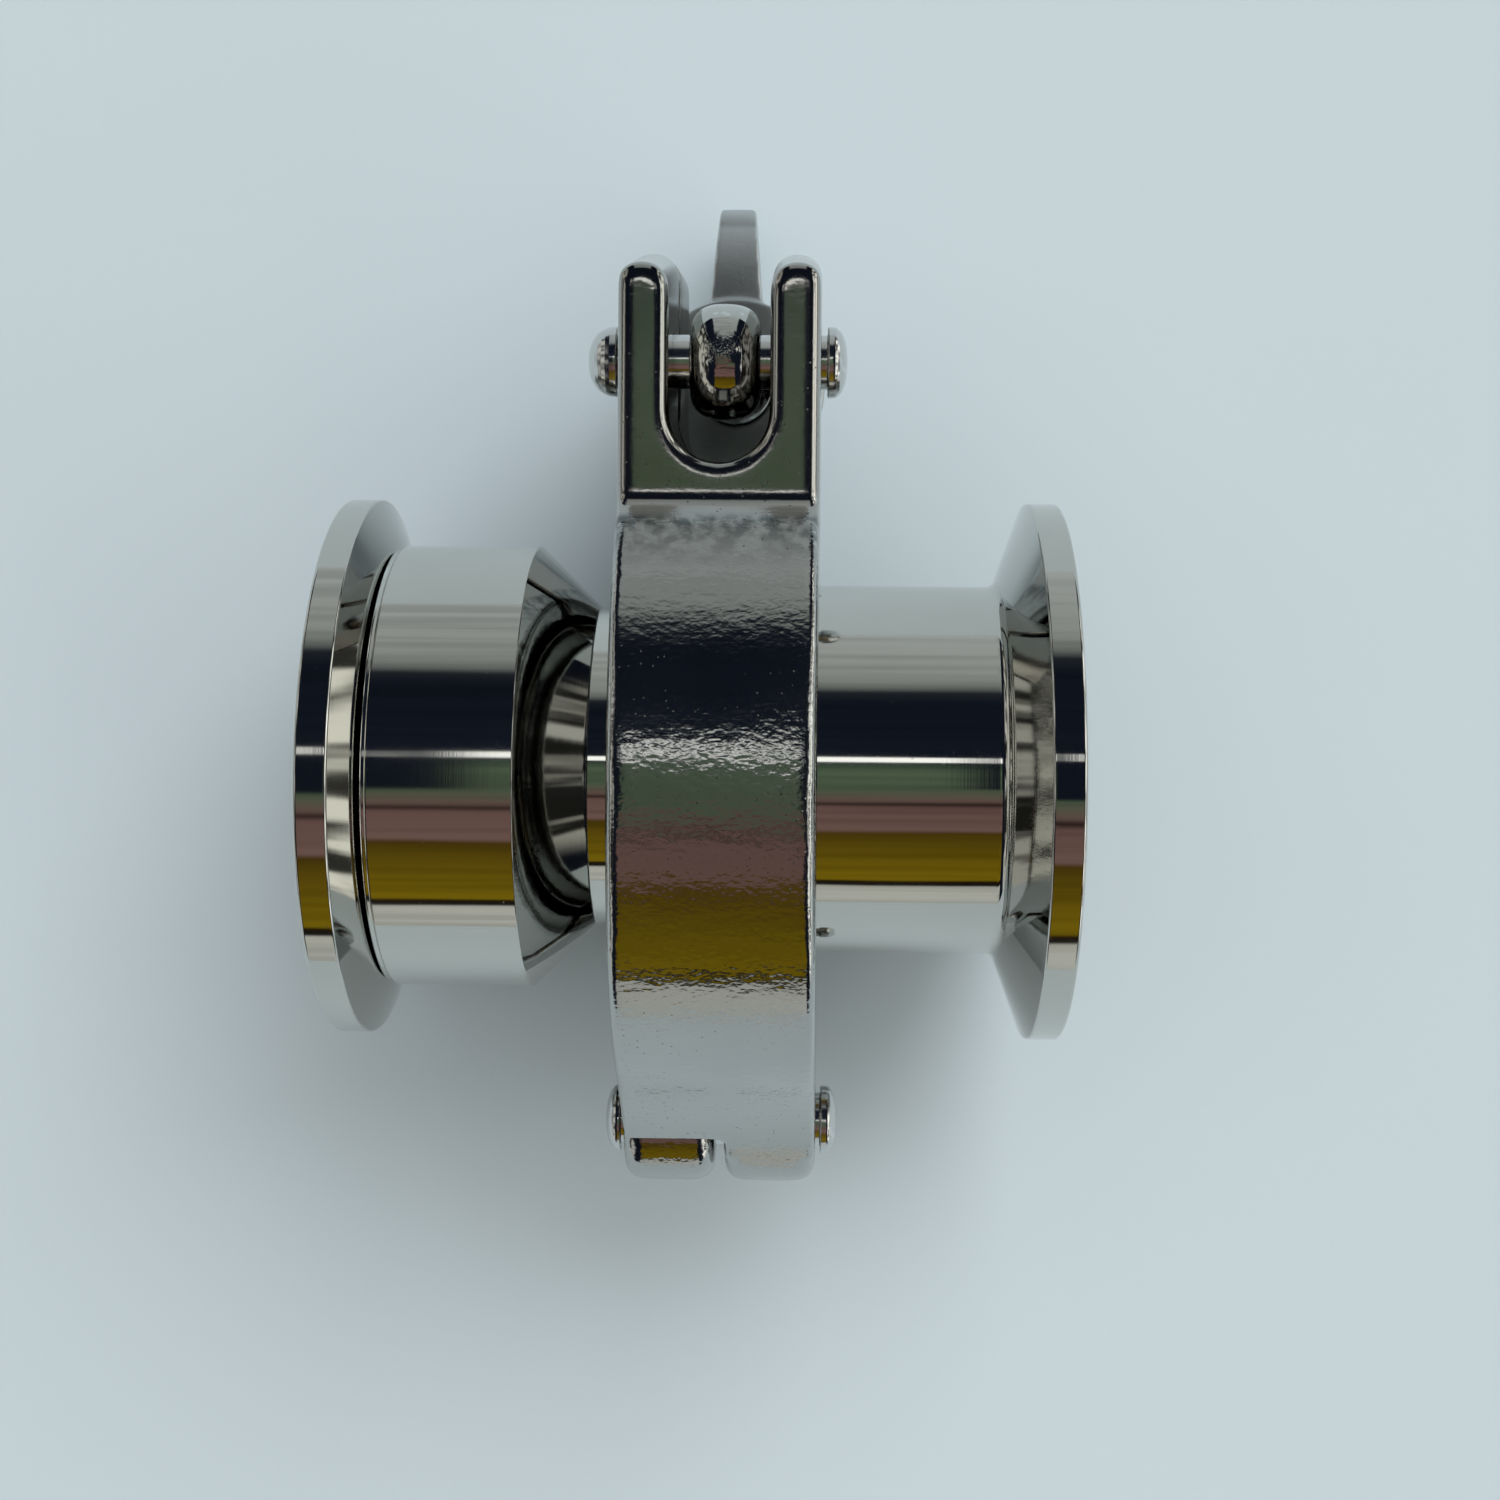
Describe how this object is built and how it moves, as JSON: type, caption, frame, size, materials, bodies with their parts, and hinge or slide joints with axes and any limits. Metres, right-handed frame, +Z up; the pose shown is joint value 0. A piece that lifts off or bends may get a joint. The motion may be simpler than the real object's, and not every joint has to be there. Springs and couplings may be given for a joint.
{
  "type": "check valve",
  "caption": "Sanitary in-line check valve: two polished bodies joined by a hinged clamp with wing nut, clamp ferrules at both ends, spring-closed poppet inside.",
  "frame": {"origin": "middle of the bounding box at the height of the surface the valve lies on", "axes": "+X along the pipe axis towards the inlet, +Y towards the wing nut and fork of the clamp, +Z up from the surface it lies on"},
  "size_m": [0.0666, 0.0999, 0.0624],
  "materials": {
    "polished_steel": "mirror-polished stainless steel",
    "cast_steel": "polished stainless casting with slight orange peel and small pits",
    "pin_steel": "polished stainless pin",
    "bolt_steel": "cast stainless, half polished",
    "nut_steel": "satin cast stainless",
    "turned_steel": "fine turned stainless",
    "fastener_steel": "bright stainless fastener",
    "spring_steel": "bright spring wire",
    "gasket_rubber": "moulded white silicone",
    "o_ring_rubber": "black moulded EPDM",
    "bush_plastic": "natural PTFE"
  },
  "bodies": {
    "valve_body": {"outlet_ferrule": "polished_steel", "outlet_chamber": "polished_steel", "inlet_body": "polished_steel", "union_gasket": "gasket_rubber", "guide_spider": "cast_steel", "guide_bush": "bush_plastic", "clamp_half_rear": "cast_steel", "hinge_pin": "pin_steel", "return_spring": "spring_steel"},
    "poppet": {"poppet_stem": "turned_steel", "poppet_disc": "turned_steel", "seat_o_ring": "o_ring_rubber", "retainer_plate": "turned_steel", "retainer_nut": "fastener_steel", "spring_washer_plate": "fastener_steel", "stem_nut": "fastener_steel", "stem_lock_nut": "fastener_steel"},
    "clamp_front": {"clamp_half_front": "cast_steel", "swing_bolt_pin": "pin_steel"},
    "bolt": {"swing_bolt": "bolt_steel"},
    "nut": {"wing_nut": "nut_steel"}
  },
  "joints": [
    {"name": "poppet_lift", "type": "slide", "parent": "valve_body", "child": "poppet", "axis": [-1, 0, 0], "range_m": [0, 0.005], "stiffness_N_per_m": 1500, "springref_m": -0.003, "deforming": ["return_spring"]},
    {"name": "clamp_front_open", "type": "hinge", "parent": "valve_body", "child": "clamp_front", "pos_m": [0.00205, -0.04416, 0.02766], "axis": [1, 0, 0], "range_deg": [0, 0.75]},
    {"name": "bolt_swing", "type": "hinge", "parent": "clamp_front", "child": "bolt", "pos_m": [0.00235, 0.02601, 0.04458], "axis": [1, 0, 0], "range_deg": [0, 180]},
    {"name": "wing_nut_turn", "type": "hinge", "parent": "bolt", "child": "nut", "pos_m": [0.00235, 0.02922, 0.01405], "axis": [0, -0.1045, 0.9945], "continuous": true}
  ]
}
